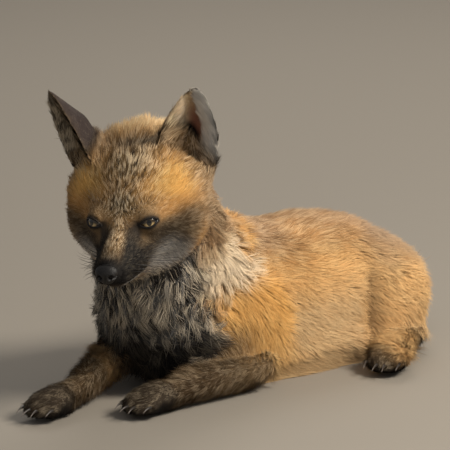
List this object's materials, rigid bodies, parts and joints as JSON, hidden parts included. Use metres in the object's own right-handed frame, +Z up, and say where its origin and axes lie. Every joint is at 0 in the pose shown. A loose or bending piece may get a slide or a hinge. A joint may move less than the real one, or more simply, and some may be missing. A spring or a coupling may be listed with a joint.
{
  "type": "red fox cub",
  "caption": "Life-size red fox cub lying on its belly, forelegs stretched out, hind feet tucked beside it, head raised and turned to its left, tail curled round its right side.",
  "frame": {"origin": "on the floor, under the middle of the whole model's box", "axes": "+Z up, the cub faces -Y, its left side is +X"},
  "size_m": [0.2422, 0.4132, 0.2161],
  "materials": {
    "coat_face": "short dense fur, matte",
    "coat_back": "soft fur, matte",
    "coat_flank": "soft fur, matte",
    "coat_breast": "long curly fur, matte",
    "stocking": "very short fur, matte",
    "ear": "very short fur, matte",
    "tail": "long bushy fur, matte",
    "tail_tip": "long white fur, matte",
    "claw": "horn, satin",
    "eye": "wet and clear, gloss",
    "nose": "moist pebbled leather"
  },
  "bodies": {
    "root": {"head": "coat_face", "ear_left": "ear", "eye_left": "eye", "ear_right": "ear", "eye_right": "eye", "nose": "nose", "neck": "coat_breast", "shoulder_left": "coat_flank", "thigh_left": "coat_flank", "shoulder_right": "coat_flank", "thigh_right": "coat_flank", "chest": "coat_breast", "barrel": "coat_back", "rump": "coat_back", "forearm_left": "stocking", "forepaw_left": "stocking", "forepaw_left_claw_1": "claw", "forepaw_left_claw_2": "claw", "forepaw_left_claw_3": "claw", "forepaw_left_claw_4": "claw", "hock_left": "stocking", "hindpaw_left": "stocking", "hindpaw_left_claw_1": "claw", "hindpaw_left_claw_2": "claw", "hindpaw_left_claw_3": "claw", "hindpaw_left_claw_4": "claw", "forearm_right": "stocking", "forepaw_right": "stocking", "forepaw_right_claw_1": "claw", "forepaw_right_claw_2": "claw", "forepaw_right_claw_3": "claw", "forepaw_right_claw_4": "claw", "hock_right": "stocking", "hindpaw_right": "stocking", "hindpaw_right_claw_1": "claw", "hindpaw_right_claw_2": "claw", "hindpaw_right_claw_3": "claw", "hindpaw_right_claw_4": "claw", "tail_root": "tail", "tail_middle": "tail", "tail_tip": "tail_tip"}
  },
  "joints": []
}
